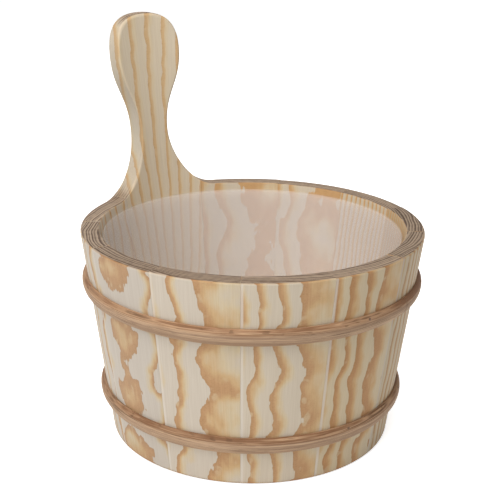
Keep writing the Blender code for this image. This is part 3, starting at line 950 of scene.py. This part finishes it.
def milky_plastic(colours):
    """Thin cloudy plastic, moulded with faint flow marks."""
    graph = Graph(bpy.data.materials.new("milky_plastic"))
    x, y, z = graph.split(graph.place())
    cloud = graph.noise(graph.joined(x, y, z * 0.5), 22, 2.0)
    skin = graph.noise(graph.joined(x, y, z), 900, 2.0)
    colour = graph.mixed(cloud, Vector(colours.liner_milk) * 0.97, Vector(colours.liner_milk) * 1.03)
    lip = graph.eased(z, LINER_EDGE - 0.0025, LINER_EDGE)
    return graph.surface({"Base Color": colour, "Roughness": 0.36 + 0.10 * cloud, "Alpha": 0.26 - 0.16 * lip,
                          "Normal": graph.bump(skin, 0.05, 0.0002)})


class BUCKET_OT_liner(bpy.types.Operator):
    """Make the loose plastic liner"""

    bl_idname = "bucket.liner"
    bl_label = "Liner"

    def execute(self, context):
        bm = bmesh.new()
        points = [around(radius, 0.0, height) for radius, height in self.outline()]
        turn_round(bm, points, (0, 0, 1), context.scene.bucket_sizes.liner_steps)
        bmesh.ops.holes_fill(bm, edges=[edge for edge in bm.edges if edge.is_boundary], sides=0)
        finished(bm, "plastic_liner", milky_plastic(context.scene.bucket_colours), "liner",
                 "liner")
        return {"FINISHED"}

    def outline(self):
        """The wall and floor, outside then inside."""
        floor = CHIME_DEPTH + BOTTOM_THICKNESS + GAP

        def wall_radius(height):
            return inner_radius(height) - LINER_CLEARANCE

        def corner(bottom, wall, radius):
            """A quarter round from the floor up into the wall."""
            start = Vector((wall_radius(bottom) - wall - radius, bottom, 0))
            knee = Vector((wall_radius(bottom) - wall, bottom, 0))
            end = Vector((wall_radius(bottom + radius) - wall, bottom + radius, 0))
            points = interpolate_bezier(start, start.lerp(knee, 0.56), end.lerp(knee, 0.56), end, 9)
            return [(point.x, point.y) for point in points]

        outside = corner(floor, 0.0, LINER_CORNER)
        inside = corner(floor + LINER_FLOOR, LINER_WALL, LINER_CORNER - LINER_WALL)
        half = LINER_WALL / 2
        lip = []
        for i in range(LINER_LIP_STEPS + 1):
            turn = pi * i / LINER_LIP_STEPS
            lip.append((wall_radius(LINER_EDGE) - half + half * cos(turn),
                        LINER_EDGE - half + half * sin(turn)))
        return outside + lip + list(reversed(inside))


def turned_pair(first, second, angle):
    """Turns two axes in their plane, the first one towards the second."""
    turn = radians(angle)
    return first * cos(turn) + second * sin(turn), second * cos(turn) - first * sin(turn)


class BUCKET_OT_stage(bpy.types.Operator):
    """Set the camera, the lights, the world and the floor"""

    bl_idname = "bucket.stage"
    bl_label = "Stage"

    def execute(self, context):
        self.camera(context.scene)
        for name, settings in LAMPS.items():
            self.lamp(name, *settings)
        self.world(context.scene)
        self.floor()
        context.scene.view_settings.view_transform = "Standard"
        return {"FINISHED"}

    def camera(self, scene):
        elevation = radians(CAMERA_ELEVATION)
        place = Vector((0, -CAMERA_DISTANCE * cos(elevation), CAMERA_DISTANCE * sin(elevation)))
        forward = -place.normalized()
        right = forward.cross(Vector((0, 0, 1))).normalized()
        up = right.cross(forward)
        forward, right = turned_pair(forward, right, CAMERA_YAW)
        forward, up = turned_pair(forward, up, CAMERA_PITCH)
        right, up = turned_pair(right, up, CAMERA_ROLL)
        place.z += CAMERA_AIM_HEIGHT
        lens = bpy.data.cameras.new("camera")
        lens.lens = CAMERA_LENS
        lens.sensor_width = CAMERA_SENSOR
        lens.sensor_fit = "HORIZONTAL"
        lens.clip_start = 0.01
        camera = bpy.data.objects.new("camera", lens)
        axes = Matrix((right, up, -forward)).transposed()
        place = AXIS + CAMERA_SIDE @ place
        camera.matrix_world = Matrix.Translation(place) @ (CAMERA_SIDE @ axes).to_4x4()
        scene.collection.objects.link(camera)
        scene.camera = camera

    def lamp(self, name, place, size, power, colour):
        light = bpy.data.lights.new(name, "AREA")
        light.shape = "DISK"
        light.size = size
        light.energy = power
        light.color = colour
        lamp = bpy.data.objects.new(name, light)
        lamp.location = AXIS + CAMERA_SIDE @ Vector(place)
        aim = AXIS + LAMP_AIM - lamp.location
        lamp.rotation_euler = aim.to_track_quat("-Z", "Y").to_euler()
        bpy.context.scene.collection.objects.link(lamp)

    def world(self, scene):
        """Even white light, and plain white behind the bucket."""
        graph = Graph(bpy.data.worlds.new("studio"), "Background")
        light = graph.mixed(graph.plainly_seen(), FILL_LIGHT, WHITE)
        scene.world = graph.surface({"Color": light, "Strength": 1.0})

    def floor(self):
        """A pale floor that keeps the shadow and reads as white to the camera."""
        bm = bmesh.new()
        bmesh.ops.create_grid(bm, x_segments=2, y_segments=2, size=FLOOR_SIZE)
        mesh = bpy.data.meshes.new("floor")
        bm.to_mesh(mesh)
        bm.free()
        graph = Graph(bpy.data.materials.new("floor_paper"))
        glow = graph.mixed(graph.plainly_seen(), BLACK, WHITE)
        mesh.materials.append(graph.surface({
            "Base Color": FLOOR_PAPER, "Roughness": 0.9, "Specular IOR Level": 0.0,
            "Emission Color": glow, "Emission Strength": FLOOR_GLOW}))
        floor = bpy.data.objects.new("floor", mesh)
        floor.location.z = FLOOR_HEIGHT
        bpy.context.scene.collection.objects.link(floor)


class BUCKET_PT_panel(bpy.types.Panel):
    """Lists the bucket's pieces"""

    bl_idname = "BUCKET_PT_panel"
    bl_label = "Bucket"
    bl_space_type = "VIEW_3D"
    bl_region_type = "UI"
    bl_category = "Bucket"

    def draw(self, context):
        for group in (context.scene.bucket_sizes, context.scene.bucket_colours):
            column = self.layout.column()
            for name in group.__annotations__:
                column.prop(group, name)
        for operator in OPERATORS:
            self.layout.operator(operator.bl_idname)


OPERATORS = (
    BUCKET_OT_stage,
    BUCKET_OT_staves,
    BUCKET_OT_handle_stave,
    BUCKET_OT_bottom,
    BUCKET_OT_hoops,
    BUCKET_OT_brads,
    BUCKET_OT_liner,
)
CLASSES = (BucketSizes, BucketColours, *OPERATORS, BUCKET_PT_panel)


def register():
    for item in CLASSES:
        bpy.utils.register_class(item)
    bpy.types.Scene.bucket_sizes = PointerProperty(type=BucketSizes)
    bpy.types.Scene.bucket_colours = PointerProperty(type=BucketColours)


def unregister():
    del bpy.types.Scene.bucket_colours
    del bpy.types.Scene.bucket_sizes
    for item in reversed(CLASSES):
        bpy.utils.unregister_class(item)


def main():
    register()
    bpy.ops.bucket.stage()
    bpy.ops.bucket.staves()
    bpy.ops.bucket.handle_stave()
    bpy.ops.bucket.bottom()
    bpy.ops.bucket.hoops()
    bpy.ops.bucket.brads()
    bpy.ops.bucket.liner()


if __name__ == "__main__":
    main()
